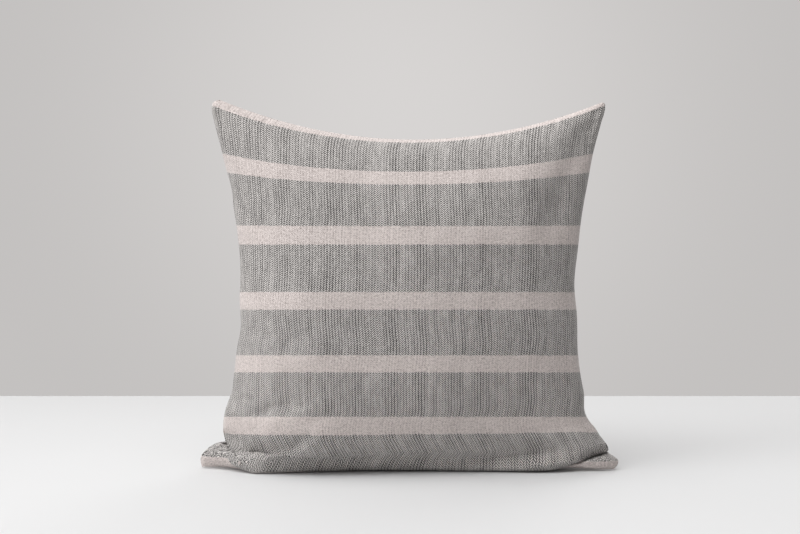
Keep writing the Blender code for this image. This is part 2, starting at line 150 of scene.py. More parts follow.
LOWER_BODY = (
    (0.0, 0.175), (0.052, 0.136, -190, -19, 30), (0.095, 0.106, -184, -30, 22),
    (0.140, 0.077, -173, -39, 16), (0.18, 0.062, -157, -45, 11), (0.25, 0.058, -121, -43, 9),
    (0.36, 0.064, -71, -38, 8.5), (0.5, 0.067, -6, -37, 8.5), (0.65, 0.069, 64, -37, 9),
    (0.75, 0.077, 110, -40, 10.5), (0.82, 0.087, 142, -43, 13), (0.85, 0.090, 154, -42, 15),
    (0.885, 0.092, 170, -38, 19), (0.925, 0.094, 186, -31, 22), (0.96, 0.101, 199, -21, 27),
    (1.0, 0.110),
)
# Heights of the pale stripes' middles at the side seams, in millimetres, from the one that
# the top seam cuts to the one that the bottom seam cuts.
STRIPE_MIDDLES = (406.8, 335.3, 255.5, 183.5, 114.0, 45.8, -25.7)
SEAM_LEVEL = -27.5             # level of the bottom seam in the same scale
TUCK_LEVEL = 45.0              # below this the stripes follow the cloth, not the height
# Over these heights, in millimetres, the stripes come to bow as the top seam does.
BOW_START, BOW_SPAN = 258.0, 146.0
BOW_DEPTH, BOW_POWER = 43.0, 1.516

# Share of the cloth that each bottom corner's ear takes up, across and up.
LEFT_EAR = (0.16, 0.15)
RIGHT_EAR = (0.16, 0.10)
# Shallow valleys in the front: ((u, v) ..., depth, width), both in millimetres.
VALLEYS = (
    (((0.975, 0.965), (0.950, 0.900), (0.925, 0.800), (0.905, 0.640)), 5.2, 20.0),
    (((0.015, 0.975), (0.045, 0.900), (0.070, 0.820)), 2.4, 13.0),
    (((0.000, 0.745), (0.055, 0.710), (0.110, 0.670)), 3.2, 8.0),
    (((0.045, 0.088), (0.028, 0.072), (0.012, 0.046)), 1.5, 3.0),
    (((0.034, 0.074), (0.052, 0.050)), 1.3, 3.0),
)


# ---- small tools ---------------------------------------------------------------------

def spline(knots, values, at):
    """Values at the given places of a smooth curve through the known ones."""
    slopes = np.gradient(values, knots, axis=0)
    before = np.clip(np.searchsorted(knots, at, side="right") - 1, 0, len(knots) - 2)
    shape = (-1,) + (1,) * (values.ndim - 1)
    width = (knots[before + 1] - knots[before]).reshape(shape)
    x = (at - knots[before]).reshape(shape) / width
    first, last = values[before], values[before + 1]
    start = (2 * x**3 - 3 * x**2 + 1) * first + (x**3 - 2 * x**2 + x) * width * slopes[before]
    end = (3 * x**2 - 2 * x**3) * last + (x**3 - x**2) * width * slopes[before + 1]
    return start + end


def lengths_along(points):
    """Length of a polyline up to each of its points."""
    steps = np.linalg.norm(np.diff(points, axis=0), axis=1)
    return np.concatenate([[0.0], np.cumsum(steps)])


def seam(points, shares):
    """A smooth seam through given points, read at shares of its length."""
    points = np.array(points, float) * MM
    lengths = lengths_along(points)
    return spline(lengths / lengths[-1], points, shares)


def ease(value):
    """A smooth step from 0 at 0 to 1 at 1."""
    value = np.clip(value, 0.0, 1.0)
    return value * value * (3.0 - 2.0 * value)


def unit(vectors):
    return vectors / np.maximum(np.linalg.norm(vectors, axis=-1, keepdims=True), 1e-9)


def arc_point(along, out=0.0, up=0.0):
    """A point beside the zip: along its arc, out from the fabric and up from its middle."""
    angle = np.asarray(along) / ZIP_RADIUS
    reach = ZIP_RADIUS + out
    return np.stack([
        reach * np.sin(angle),
        ZIP_AXIS_Y + reach * np.cos(angle),
        np.zeros_like(angle) + ZIP_Z + up,
    ], -1)


def new_object(name, vertices, faces, smooth=True):
    mesh = bpy.data.meshes.new(name)
    mesh.from_pydata([tuple(v) for v in vertices], [], [tuple(f) for f in faces])
    mesh.update()
    if smooth:
        mesh.shade_smooth()
    return linked(name, mesh)


def linked(name, data):
    """A new object in the scene with the given data."""
    thing = bpy.data.objects.new(name, data)
    bpy.context.scene.collection.objects.link(thing)
    return thing


def set_cloth(thing, coordinates):
    """Store the weave's own coordinates, which the materials read."""
    layer = thing.data.attributes.new("cloth", "FLOAT_VECTOR", "POINT")
    layer.data.foreach_set("vector", np.asarray(coordinates, np.float32).ravel())


def subdivide(thing, levels):
    modifier = thing.modifiers.new("subdivide", "SUBSURF")
    modifier.levels = levels
    modifier.render_levels = levels


def thicken(thing, thickness):
    modifier = thing.modifiers.new("thickness", "SOLIDIFY")
    modifier.thickness = thickness
    modifier.offset = -1.0


def place(thing, body, slot, material, *nodes):
    """Finish a piece: its material, the body that it rides on and what it stands for."""
    thing.data.materials.clear()
    thing.data.materials.append(material)
    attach(thing, body)
    if nodes:
        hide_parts(*nodes)
    return thing


# ---- shape of the cover --------------------------------------------------------------

def column_shares():
    even = np.linspace(0, 1, COLUMNS + 1)
    return 0.5 * even + 0.5 * (1 - np.cos(math.pi * even)) / 2


def row_shares():
    slot, band = SLOT_HALF / CUT, BAND_HALF / CUT
    even = np.linspace(0, 1, LOW_ROWS + 1)
    low = (0.5 * even + 0.5 * (1 - np.cos(math.pi * even / 2))) * (ZIP_SHARE - band)
    even = np.linspace(0, 1, HIGH_ROWS + 1)
    above = ZIP_SHARE + band
    high = above + (0.5 * even + 0.5 * np.sin(math.pi * even / 2)) * (1 - above)
    return np.concatenate([low, [ZIP_SHARE - slot, ZIP_SHARE, ZIP_SHARE + slot], high])


def finer(shares):
    """The same shares with more between each two."""
    count = (len(shares) - 1) * FINE + 1
    return np.interp(np.arange(count) / FINE, np.arange(len(shares)), shares)


U = column_shares()
V = row_shares()
ROWS = len(V) - 1
ZIP_ROW = LOW_ROWS + 2
U_FINE = finer(U)
V_FINE = finer(V)
ALONG_ZIP = (U - 0.5) * CLOTH_ALONG_ZIP


def start_shape():
    """Front and back as smooth patches between the four seams, bulged apart."""
    left, right, bottom = seam(LEFT_SEAM, V), seam(RIGHT_SEAM, V), seam(BOTTOM_SEAM, U)
    across = 2 * U - 1
    top = left[-1] + (right[-1] - left[-1]) * U[:, None]
    top[:, 2] -= TOP_SAG * MM * (1 - across**2)
    u, v = U[None, :, None], V[:, None, None]
    patch = (1 - v) * bottom[None] + v * top[None] + (1 - u) * left[:, None] + u * right[:, None]
    patch -= (1 - u) * (1 - v) * bottom[0] + u * (1 - v) * bottom[-1]
    patch -= (1 - u) * v * top[0] + u * v * top[-1]
    bulge = np.sqrt(np.clip((1 - across[None] ** 2) * (1 - (2 * V[:, None] - 1) ** 2), 0, 1))
    front, back = patch.copy(), patch.copy()
    front[..., 1] -= FACE_BULGE * bulge
    back[..., 1] += FACE_BULGE * bulge
    return front, back


def hold_zip(back):
    """Put the slot's edges on the CAD's arc. Returns the held (row, column)s."""
    held = np.flatnonzero(np.abs(ALONG_ZIP) < SLOT_REACH + SLOT_CLOSING / 2)
    pins = set()
    for row, rise in ((ZIP_ROW - 1, -SLOT_HALF), (ZIP_ROW, 0.0), (ZIP_ROW + 1, SLOT_HALF)):
        back[row, held] = arc_point(ALONG_ZIP[held], 0.0, rise)
        pins.update((row, int(column)) for column in held)
    return pins


def lower_line(stations, shares):
    """Height on the cloth and place in space of one of the front's lower lines."""
    across = np.array([station[0] for station in stations])
    up = np.array([station[1] for station in stations])
    places = []
    for station in stations:
        if len(station) == 5:
            places.append(np.array(station[2:], float) * MM)
        elif station[0] in (0.0, 1.0):
            side = RIGHT_SEAM if station[0] else LEFT_SEAM
            places.append(seam(side, np.array([station[1]]))[0])
        else:
            places.append(seam(BOTTOM_SEAM, np.array([station[0]]))[0])
    height = np.interp(shares, across, up)
    return height, spline(across, np.array(places), shares)


def lower_front(shares, rows):
    """The front's lower end, and each point's cloth distance past its crease, edge and body."""
    v = rows[:, None]
    lines = [lower_line(stations, shares) for stations in (CREASES, LOWER_EDGE, LOWER_BODY)]
    middle = (shares >= CREASE_ON_SEAM[0]) & (shares <= CREASE_ON_SEAM[1])
    lines[0][1][middle] = seam(BOTTOM_SEAM, shares[middle])
    past = [v - height for height, _ in lines]
    shape = np.zeros((len(rows), len(shares), 3))
    for at, (height, line) in enumerate(lines):
        first, second = [other for other in range(3) if other != at]
        weight = past[first] * past[second]
        weight /= (height - lines[first][0]) * (height - lines[second][0])
        shape += weight[..., None] * line
    shape[..., 2] = np.maximum(shape[..., 2], 1.2 * MM)
    return shape, past


def hold_lower_front(front):
    """Put the front's lower end in its place. Returns the held (row, column)s."""
    shape, (past_crease, past_edge, _) = lower_front(U, V)
    held = (past_crease > -0.002) & (past_edge < 0.012)
    held[[0, -1]] = False
    held[:, [0, -1]] = False
    front[held] = shape[held]
    return {(int(row), int(column)) for row, column in np.argwhere(held)}


def sharpen_lower_front(front):
    """Give the finished cloth the folds that the simulated cells are too coarse for."""
    shape, (past_crease, _, past_body) = lower_front(U_FINE, V_FINE)
    share = ease(1 + past_crease / 0.008) * ease(-past_body / 0.016)
    front += (shape - front) * share[..., None]


def sewn_grid():
    """Vertex numbers of the front's and back's grids, which share their edges, and faces."""
    front = np.arange((ROWS + 1) * (COLUMNS + 1)).reshape(ROWS + 1, COLUMNS + 1)
    back = front.copy()
    inner = (ROWS - 1) * (COLUMNS - 1)
    back[1:-1, 1:-1] = front.size + np.arange(inner).reshape(ROWS - 1, COLUMNS - 1)
    return front, back, np.concatenate([grid_faces(front), grid_faces(back)[:, ::-1]])


def grid_ids(grid):
    """A vertex number for each point of a grid."""
    return np.arange(grid.shape[0] * grid.shape[1]).reshape(grid.shape[:2])


def grid_faces(ids):
    """The four corners of every face of a grid of vertex numbers."""
    corners = np.stack([ids[:-1, :-1], ids[:-1, 1:], ids[1:, 1:], ids[1:, :-1]], -1)
    return corners.reshape(-1, 4)


def make_floor_collider():
    """A floor for the simulation only."""
    corners = [(-1, -1, 0), (1, -1, 0), (1, 1, 0), (-1, 1, 0)]
    floor = new_object("collider", corners, [(0, 1, 2, 3)])
    floor.modifiers.new("collision", "COLLISION")
    floor.collision.thickness_outer = 0.001
    floor.collision.cloth_friction = 5.0
    return floor


def set_cloth_physics(cloth, held, pressed, rest_key):
    settings = cloth.settings
    settings.quality = 6
    settings.mass = 0.15
    settings.air_damping = 2.0
    settings.tension_stiffness = 15.0
    settings.compression_stiffness = 15.0
    settings.shear_stiffness = 5.0
    settings.bending_stiffness = 0.5
    settings.bending_damping = 0.5
    settings.use_pressure = True
    settings.uniform_pressure_force = 4.0
    settings.vertex_group_pressure = pressed
    settings.effector_weights.gravity = 0.0
    settings.vertex_group_mass = held
    settings.pin_stiffness = 1.0
    settings.rest_shape_key = rest_key
    cloth.collision_settings.distance_min = 0.001


def pressures():
    """Share of the filling's pressure at each point: the ears hardly hold any filling."""
    from_left = np.hypot(U[None] / LEFT_EAR[0], V[:, None] / LEFT_EAR[1])
    from_right = np.hypot((1 - U[None]) / RIGHT_EAR[0], V[:, None] / RIGHT_EAR[1])
    return 0.25 + 0.75 * ease(np.minimum(from_left, from_right) - 0.45)


def inflate(front, back, front_pins, back_pins, frames=40):
    """Simulate the sewn cover from its start shape and return the settled faces."""
    front_ids, back_ids, faces = sewn_grid()
    count = int(back_ids.max()) + 1
    posed, flat, pressed = np.zeros((count, 3)), np.zeros((count, 3)), np.zeros(count)
    posed[back_ids] = back
    posed[front_ids] = front
    cut = np.stack(np.broadcast_arrays((U - 0.5)[None] * CUT, 0.0, V[:, None] * CUT), -1)
    for ids in (front_ids, back_ids):
        flat[ids] = cut
        pressed[ids] = pressures()
    thing = new_object("simulated_cover", flat, faces)
    thing.shape_key_add(name="flat")
    shaped = thing.shape_key_add(name="posed")
    shaped.data.foreach_set("co", posed.ravel())
    shaped.value = 1.0
    edge = set(front_ids[[0, -1]].ravel()) | set(front_ids[:, [0, -1]].ravel())
    held = edge | {front_ids[at] for at in front_pins} | {back_ids[at] for at in back_pins}
    thing.vertex_groups.new(name="held").add([int(number) for number in held], 1.0, "REPLACE")
    pressed_group = thing.vertex_groups.new(name="pressed")
    for number, share in enumerate(pressed):
        pressed_group.add([number], float(share), "REPLACE")
    floor = make_floor_collider()
    cloth = thing.modifiers.new("cloth", "CLOTH")
    set_cloth_physics(cloth, "held", "pressed", thing.data.shape_keys.key_blocks["flat"])
    cloth.point_cache.frame_end = frames
    scene = bpy.context.scene
    for step in range(1, frames + 1):
        scene.frame_set(step)
    settled = thing.evaluated_get(bpy.context.evaluated_depsgraph_get()).to_mesh()
    points = np.zeros(count * 3)
    settled.vertices.foreach_get("co", points)
    points = points.reshape(-1, 3)
    result = points[front_ids], points[back_ids]
    bpy.data.objects.remove(thing)
    bpy.data.objects.remove(floor)
    scene.frame_set(1)
    return result


def refine(grid):
    """The grid with smooth points between those that were simulated."""
    tall = spline(V, grid, V_FINE)
    return spline(U, tall.transpose(1, 0, 2), U_FINE).transpose(1, 0, 2)


def normals_of(grid, outward):
    """Unit normals of a grid of points; outward is 1 for the front and -1 for the back."""
    return unit(np.cross(np.gradient(grid, axis=1), np.gradient(grid, axis=0))) * outward


def ripple(along, wavelengths, seed):
    """An uneven wave along a seam, between about -1 and 1."""
    chance = np.random.default_rng(seed)
    phases = [chance.uniform(0, 6.28) for _ in wavelengths]
    waves = [np.sin(2 * math.pi * along / length + phase) for length, phase in zip(wavelengths, phases)]
    return sum(waves) / len(waves) * 1.4


def from_edges():
    """For each side of the cloth: the distance from it, the place along it, in mm, and a seed."""
    u, v = np.meshgrid(U_FINE * CUT_MM, V_FINE * CUT_MM)
    return ((u, v, 11), (CUT_MM - u, v, 12), (v, u, 13), (CUT_MM - v, u, 14))


def from_nearest_edge():
    """Each point's distance from the nearest side of the cloth, in millimetres."""
    return np.minimum.reduce([away for away, _, _ in from_edges()])


def puckers():
    """The small gathers where the cloth is sewn, in millimetres out of the surface."""
    total = np.zeros((len(V_FINE), len(U_FINE)))
    for away, along, seed in from_edges():
        depth = 0.55 + 0.45 * ripple(along, (57.0, 91.0), seed + 20)
        fade = np.exp(-((away / 10.0) ** 2)) - np.exp(-((away / 3.5) ** 2))
        corner = ease(along / 35.0) * ease((CUT_MM - along) / 35.0)
        total += depth * ripple(along, (10.5, 14.0, 21.0), seed) * fade * corner
    return total * 1.1


def lumps(seed):
    """Broad, shallow unevenness of the filling, in millimetres, none at the seams."""
    chance = np.random.default_rng(seed)
    u, v = np.meshgrid(U_FINE * CUT_MM, V_FINE * CUT_MM)
    total = np.zeros_like(u)
    for length in (48.0, 61.0, 74.0, 97.0, 130.0, 160.0):
        angle = chance.uniform(0, math.pi)
        phase = chance.uniform(0, 2 * math.pi)
        along = u * math.cos(angle) + v * math.sin(angle)
        total += np.sin(along * 2 * math.pi / length + phase) * length
    return total * 0.0038 * ease(from_nearest_edge() / 45.0)


def valley_depth(path, depth, width):
    """A groove along a path of (u, v), which fades towards its ends and at the seams."""
    u, v = np.meshgrid(U_FINE, V_FINE)
    points = np.array(path) * CUT_MM
    places = np.stack([u, v], -1) * CUT_MM
    lengths = lengths_along(points)
    groove = np.zeros_like(u)
    for at in range(len(points) - 1):
        run = points[at + 1] - points[at]
        share = np.clip(np.sum((places - points[at]) * run, -1) / np.dot(run, run), 0, 1)
        gap = np.linalg.norm(places - points[at] - share[..., None] * run, axis=-1)
        whole = (lengths[at] + share * (lengths[at + 1] - lengths[at])) / lengths[-1]
        strength = ease((1 - whole) * 2.5) * ease((whole + 0.15) * 3.5)
        groove = np.maximum(groove, strength * np.exp(-((gap / width) ** 2)))
    return groove * depth * ease(from_nearest_edge() / 9.0)


def close_slot(back):
    """Bring the slot's two edges together beyond its ends."""
    centre = ZIP_ROW * FINE
    openness = 1 - ease((np.abs(U_FINE - 0.5) * CLOTH_ALONG_ZIP - SLOT_REACH) / SLOT_CLOSING)
    shut = (0.96 * (1 - openness))[:, None]
    for way in (1, -1):
        edge = centre + way * FINE
        shift = (back[centre] - back[edge]) * shut
        for step in range(FINE + 1):
            back[edge + way * step] += shift * (1 - step / (FINE + 1))


def soft_maximum(first, second, soft=0.5 * MM):
    """The larger of two lengths, with a smooth change from one to the other."""
    return (first + second + np.hypot(first - second, soft) - soft) / 2


def cover_tape(back):
    """Lay the back on the zip's arc over its tape, and let it curve freely away from there."""
    from_axis = back[..., :2] - np.array([0.0, ZIP_AXIS_Y])
    radius = np.linalg.norm(from_axis, axis=-1)
    along = np.abs(np.arctan2(from_axis[..., 0], from_axis[..., 1])) * ZIP_RADIUS
    past_end = np.maximum(along - TAPE_REACH, 0)
    past_side = np.maximum(np.abs(back[..., 2] - ZIP_Z) - BAND_HALF, 0)
    past = np.hypot(past_end, past_side)
    least = ZIP_RADIUS - past**2 / 0.05
    most = ZIP_RADIUS + 0.3 * MM + past**2 / 0.03
    wanted = -soft_maximum(-soft_maximum(radius, least), -most)
    back[..., :2] += from_axis * (wanted / radius - 1)[..., None]


def beside_zip():
    """1 away from the zip, 0 beside it, where the cloth is held flat."""
    from_slot = np.abs(V_FINE[:, None] - ZIP_SHARE) * CUT_MM
    beyond = (np.abs(U_FINE[None] - 0.5) * CLOTH_ALONG_ZIP - SLOT_REACH) / MM
    return np.maximum(ease((from_slot - 7) / 22), ease(beyond / 20))


def shape_cover():
    """The settled front and back, simulated and then with their fine relief."""
    front, back = start_shape()
    back_pins = hold_zip(back)
    front_pins = hold_lower_front(front)
    front, back = inflate(front, back, front_pins, back_pins)
    fine_front, fine_back = refine(front), refine(back)
    sharpen_lower_front(fine_front)
    grooves = sum(valley_depth(*valley) for valley in VALLEYS)
    relief = (puckers() + lumps(5) - grooves) * MM
    fine_front += normals_of(fine_front, 1) * relief[..., None]
    relief = (puckers() + lumps(6)) * beside_zip() * MM
    fine_back += normals_of(fine_back, -1) * relief[..., None]
    cover_tape(fine_back)
    close_slot(fine_back)
    for face in (fine_front, fine_back):
        face[..., 2] = np.maximum(face[..., 2], FLOOR_GAP)
    return fine_front, fine_back


def stripe_places(grid):
    """Where each point lies in the stripe pattern, in spacings below the top one."""
    height, depth = grid[..., 2], -np.abs(grid[..., 1])
    level = EYE_HEIGHT + (height - EYE_HEIGHT) * EYE_DISTANCE / (EYE_DISTANCE + depth)
    level /= MM
    across = 1 - (2 * U_FINE[None] - 1) ** 2
    place = level.copy()
    for _ in range(30):
        bow = np.maximum(0.0, (place - BOW_START) / BOW_SPAN) ** BOW_POWER
        place = level + BOW_DEPTH * bow * across
    for column in range(len(U_FINE)):
        tuck = int(np.argmax(level[:, column] > TUCK_LEVEL))
        share = V_FINE[: tuck + 1] / V_FINE[tuck]
        place[: tuck + 1, column] = SEAM_LEVEL + (place[tuck, column] - SEAM_LEVEL) * share
    steps = np.arange(len(STRIPE_MIDDLES))
    return np.interp(place, STRIPE_MIDDLES[::-1], steps[::-1])


def spacing(grid, shares):
    """Cell lengths along the second axis, in mm of weave that shows at its true scale."""
    flat = np.diff(shares) * CUT_MM
    stretch = np.linalg.norm(np.diff(grid, axis=1), axis=-1) / MM / flat
    hidden = np.clip(stretch / GATHERED, 0.3, 1.0)
    return flat * hidden * np.clip(stretch / TIGHT, 1.0, 2.5)


def cloth_coordinates(grid):
    """(millimetres across, millimetres up, place in the stripes) for a face's points."""
    none = np.zeros((len(V_FINE), 1))
    across = np.concatenate([none, np.cumsum(spacing(grid, U_FINE), 1)], 1)
    across -= across[:, len(U_FINE) // 2, None]
    none = np.zeros((len(U_FINE), 1))
    up = np.concatenate([none, np.cumsum(spacing(grid.transpose(1, 0, 2), V_FINE), 1)], 1).T
    up -= up[len(V_FINE) // 2]
    return np.stack([across + 2 * CUT_MM, up + 2 * CUT_MM, stripe_places(grid)], -1)


# ---- panels of the cover -------------------------------------------------------------

def edge_directions(front, back):
    """At each point of a face's border: out of the pillow, and from the back to the front."""
    last_row, last_column = len(front) - 1, len(front[0]) - 1
    rows = np.clip(np.arange(last_row + 1), FINE, last_row - FINE)
    columns = np.clip(np.arange(last_column + 1), FINE, last_column - FINE)
    inner_front = front[np.ix_(rows, columns)]
    inner_back = back[np.ix_(rows, columns)]
    out = unit(front - (inner_front + inner_back) / 2)
    side = inner_front - inner_back
    side = unit(side - out * np.sum(side * out, -1, keepdims=True))
    return out, side


def border(grid):
    """A grid's border in order round it, as an array with one row for each point."""
    return np.concatenate([grid[0, :-1], grid[:-1, -1], grid[-1, :0:-1], grid[:0:-1, 0]])


def panel_object(name, grid, coordinates, rings, outward):
    """A panel from its grid of points and the rings of cloth turned in round its border."""
    ids = grid_ids(grid)
    faces = [grid_faces(ids)]
    points = [grid.reshape(-1, 3)]
    cloth = [coordinates.reshape(-1, 3)]
    loop = border(ids)
    for number, ring in enumerate(rings):
        inner = ids.size + number * len(loop) + np.arange(len(loop))
        points.append(ring)
        cloth.append(border(coordinates))
        faces.append(np.stack([np.roll(loop, -1), loop, inner, np.roll(inner, -1)], -1))
        loop = inner
    faces = np.concatenate(faces)[:, ::outward]
    thing = new_object(name, np.concatenate(points), faces)
    set_cloth(thing, np.concatenate(cloth))
    thicken(thing, CLOTH_THICKNESS)
    return thing


def corner_room():
    """Share of the seam's width that is turned in at each point: less of it by a corner."""
    aways = np.sort(np.stack([away for away, _, _ in from_edges()]), 0)
    return np.clip(aways[1] / 16.0, 0.12, 1.0)[..., None]


def seam_rings(grid, out, side, room):
    """Cloth turned into the seam: over a round lip, into the groove and inside."""
    base, out, side, room = border(grid), border(out), border(side), border(room)
    return [
        base - out * 0.5 * MM + side * 0.30 * MM,
        base - out * np.maximum(1.8 * room, 0.8) * MM + side * 0.12 * MM,
        base - out * np.maximum(ALLOWANCE * room, 1.0) * MM + side * 0.25 * MM,
    ]


def lift_edge(grid, out, side):
    """Part a face from the other along their seam by the thickness of its rolled edge."""
    lifted = grid.copy()
    shift = side * LIP - out * 0.2 * MM
    for away, _, _ in from_edges():
        lifted += shift * np.exp(-((away / 1.6) ** 2))[..., None]
    return lifted


def make_front(front, back, material):
    """The front panel with the cloth that is turned in at its seams."""
    out, side = edge_directions(front, back)
    rings = seam_rings(front, out, side, corner_room())
    grid = lift_edge(front, out, side)
    thing = panel_object("cover_front", grid, cloth_coordinates(front), rings, 1)
    place(thing, "pillow", "woven_cover", material, "front_panel")


def make_back(name, front, back, upper, material, node):
    """One of the two back panels, hemmed beside the slot."""
    out, side = edge_directions(front, back)
    side = -side
    rise = 1.0 if upper else -1.0
    row = (ZIP_ROW + int(rise)) * FINE
    rows = slice(row, None) if upper else slice(0, row + 1)
    rings = seam_rings(back[rows], out[rows], side[rows], corner_room()[rows])
    lifted = lift_edge(back, out, side)
    middle = beyond_side_seams()
    lifted[row] = back[row] * (1 - middle) + lifted[row] * middle
    grid = lifted[rows]
    count, height = grid.shape[1], grid.shape[0]
    first = 0 if upper else count - 1 + height - 1
    hem = (first + np.arange(count)) % len(rings[0])
    edge = border(grid)[hem]
    outward = unit((edge - np.array([0.0, ZIP_AXIS_Y, 0.0])) * np.array([1.0, 1.0, 0.0]))
    from_side = np.minimum(U_FINE, 1 - U_FINE)[:, None] * CUT_MM
    upright = np.array([0.0, 0.0, rise * MM])
    turned = ((0.75, -0.25), (1.5, 0.3), (1.6, 10.0))
    for ring, (depth, reach) in zip(rings, turned):
        ring[hem] = edge - outward * depth * MM + upright * reach * ease((from_side - 3) / 12)
    thing = panel_object(name, grid, cloth_coordinates(back)[rows], rings, -1)
    place(thing, "pillow", "woven_cover", material, node)


def beyond_side_seams():
    """1 at the side seams and 0 a little way in from them, along one row of the cloth."""
    away = np.minimum(U_FINE, 1 - U_FINE) * CUT_MM
    return (1 - ease(away / 6.0))[:, None]


# ---- insert --------------------------------------------------------------------------

def face_at(grid, u, v):
    """Points of a face at arrays of u and v."""
    column = np.interp(u, U_FINE, np.arange(len(U_FINE)))
    row = np.interp(v, V_FINE, np.arange(len(V_FINE)))
    c = np.minimum(column.astype(int), len(U_FINE) - 2)
    r = np.minimum(row.astype(int), len(V_FINE) - 2)
    x, y = (column - c)[..., None], (row - r)[..., None]
    low = grid[r, c] * (1 - x) + grid[r, c + 1] * x
    high = grid[r + 1, c] * (1 - x) + grid[r + 1, c + 1] * x
    return low * (1 - y) + high * y


def inside_cover(front, back, u, v, gap, toward):
    """Points inside one face of the cover, a gap within it, at arrays of u and v."""
    middle = (front + back) / 2
    centre = face_at(middle, u, v)
    away = face_at(front if toward > 0 else back, u, v) - centre
    depth = np.linalg.norm(away, axis=-1, keepdims=True)
    return centre + away * np.clip(1 - gap / np.maximum(depth, 1e-6), 0.02, 1.0)


def insert_layer(front, back, gap, rim, steps=40):
    """Both faces of a form inside the cover whose corners stop short of the ears."""
    b, a = np.meshgrid(np.linspace(-1, 1, steps + 1), np.linspace(-1, 1, steps + 1), indexing="ij")
    u = 0.5 + 0.5 * a * (1 - 2 * rim) * (1 - 0.17 * np.abs(b) ** 5)
    v = 0.5 + 0.5 * b * (1 - 2 * rim) * (1 - 0.17 * np.abs(a) ** 5)
    return [inside_cover(front, back, u, v, gap, toward) for toward in (1, -1)]


def make_insert(front, back, materials):
    """The insert's case in two halves, and its filling. Returns the halves' points."""
    shells = insert_layer(front, back, gap=0.0075, rim=0.035)
    ids = grid_ids(shells[0])
    for half, grid, outward in (("front", shells[0], 1), ("back", shells[1], -1)):
        name = f"insert_case_{half}"
        thing = new_object(name, grid.reshape(-1, 3), grid_faces(ids)[:, ::outward])
        subdivide(thing, 1)
        thicken(thing, 0.0005)
        place(thing, "pillow", "insert_cloth", materials["insert_cloth"], f"insert_shell_{half}")
    filled = insert_layer(front, back, gap=0.0092, rim=0.042)
    loop, other = border(ids), border(ids) + ids.size
    rim = np.stack([loop, other, np.roll(other, -1), np.roll(loop, -1)], -1)
    faces = np.concatenate([grid_faces(ids), grid_faces(ids)[:, ::-1] + ids.size, rim])
    points = np.concatenate([face.reshape(-1, 3) for face in filled])
    thing = new_object("insert_stuffing", points, faces)
    subdivide(thing, 1)
    place(thing, "pillow", "fibre_fill", materials["fibre_fill"], "insert_fill")
    return shells


# ---- threads -------------------------------------------------------------------------

def resample(points, spacing, closed):
    """Even points along a polyline."""
    if closed:
        points = np.concatenate([points, points[:1]])
    lengths = lengths_along(points)
    count = max(2, int(round(lengths[-1] / spacing)))
    at = np.linspace(0, lengths[-1], count, endpoint=not closed)
    return np.stack([np.interp(at, lengths, column) for column in points.T], 1)


def tube(points, radius, sides=6, closed=False, taper=False):
    """Vertices and faces of a tube along points."""
    ahead = np.roll(points, -1, 0) - np.roll(points, 1, 0) if closed else np.gradient(points, axis=0)
    tangents = unit(ahead)
    guide = np.where(np.abs(tangents[:, 2:3]) > 0.9, [[1.0, 0.0, 0.0]], [[0.0, 0.0, 1.0]])
    first = unit(np.cross(tangents, guide))
    second = np.cross(tangents, first)
    angles = np.arange(sides) * 2 * math.pi / sides
    radii = np.full(len(points), radius)
    if taper:
        radii[[0, -1]] *= 0.45
    circle = np.cos(angles)[None, :, None] * first[:, None]
    circle = circle + np.sin(angles)[None, :, None] * second[:, None]
    vertices = (points[:, None] + circle * radii[:, None, None]).reshape(-1, 3)
    ids = np.arange(len(vertices)).reshape(-1, sides)
    if closed:
        ids = np.concatenate([ids, ids[:1]])
    ids = np.concatenate([ids, ids[:, :1]], 1)
    faces = [tuple(face) for face in grid_faces(ids)[:, ::-1]]
    if not closed:
        faces += [tuple(ids[0, :-1]), tuple(ids[-1, -2::-1])]
    return vertices, faces


def joined(parts):
    """Several parts' vertices and faces as one."""
    vertices, faces, start = [], [], 0
    for points, part_faces in parts:
        vertices.append(points)
        faces += [tuple(number + start for number in face) for face in part_faces]
        start += len(points)
    return np.concatenate(vertices), faces


def stitches(line, normals, pitch, radius, length=0.8, closed=False):
    """Short rounded stitches along a line, each sunk into the cloth at its ends."""
    both = resample(np.concatenate([line, normals], 1), pitch / 8, closed)
    parts = []
    for start in range(0, len(both) - 8, 8):
        piece = both[start : start + 8]
        middle = piece[:, :3].mean(0)
        run = (piece[-1, :3] - piece[0, :3]) * length
        normal = unit(piece[:, 3:].mean(0))
        steps = np.linspace(-0.5, 0.5, 5)[:, None]
        arch = (1 - 4 * steps**2) - 0.45
        spine = middle + run * steps + normal * arch * radius * 1.6
        parts.append(tube(spine, radius, taper=True))
    return joined(parts)


def make_seam_threads(front, back, shells, material):
    """The cover's seam, the edging of the cloth turned in behind it, and the insert's seam."""
    out, side = edge_directions(front, back)
    base, outward, across, room = (border(grid) for grid in (front, out, side, corner_room()))
    line = base - outward * np.minimum(1.3, 0.6 + 3.0 * room) * MM
    seam_parts = stitches(line, outward, COVER_STITCH, COVER_THREAD, closed=True)
    edge = base - outward * (ALLOWANCE + 0.3) * MM * room
    both = resample(np.concatenate([edge, across * 0.8 * MM * room], 1), EDGING_STEP, True)
    swing = np.where(np.arange(len(both)) % 4 < 2, 1.0, -1.0)[:, None]
    edging = both[:, :3] + both[:, 3:] * swing
    edging_parts = tube(edging, COVER_THREAD, 5, closed=True)
    rim = border((shells[0] + shells[1]) / 2)
    outward = unit(rim - rim.mean(0))
    insert_parts = stitches(rim, outward, INSERT_STITCH, INSERT_THREAD, closed=True)
    for name, (points, faces), node in (
        ("cover_seam_stitches", seam_parts, "cover_seam_thread"),
        ("seam_edging", edging_parts, "seam_overlock_thread"),
        ("insert_seam_stitches", insert_parts, "insert_seam_thread"),
    ):
        place(new_object(name, points, faces), "pillow", "sewing_thread", material, node)


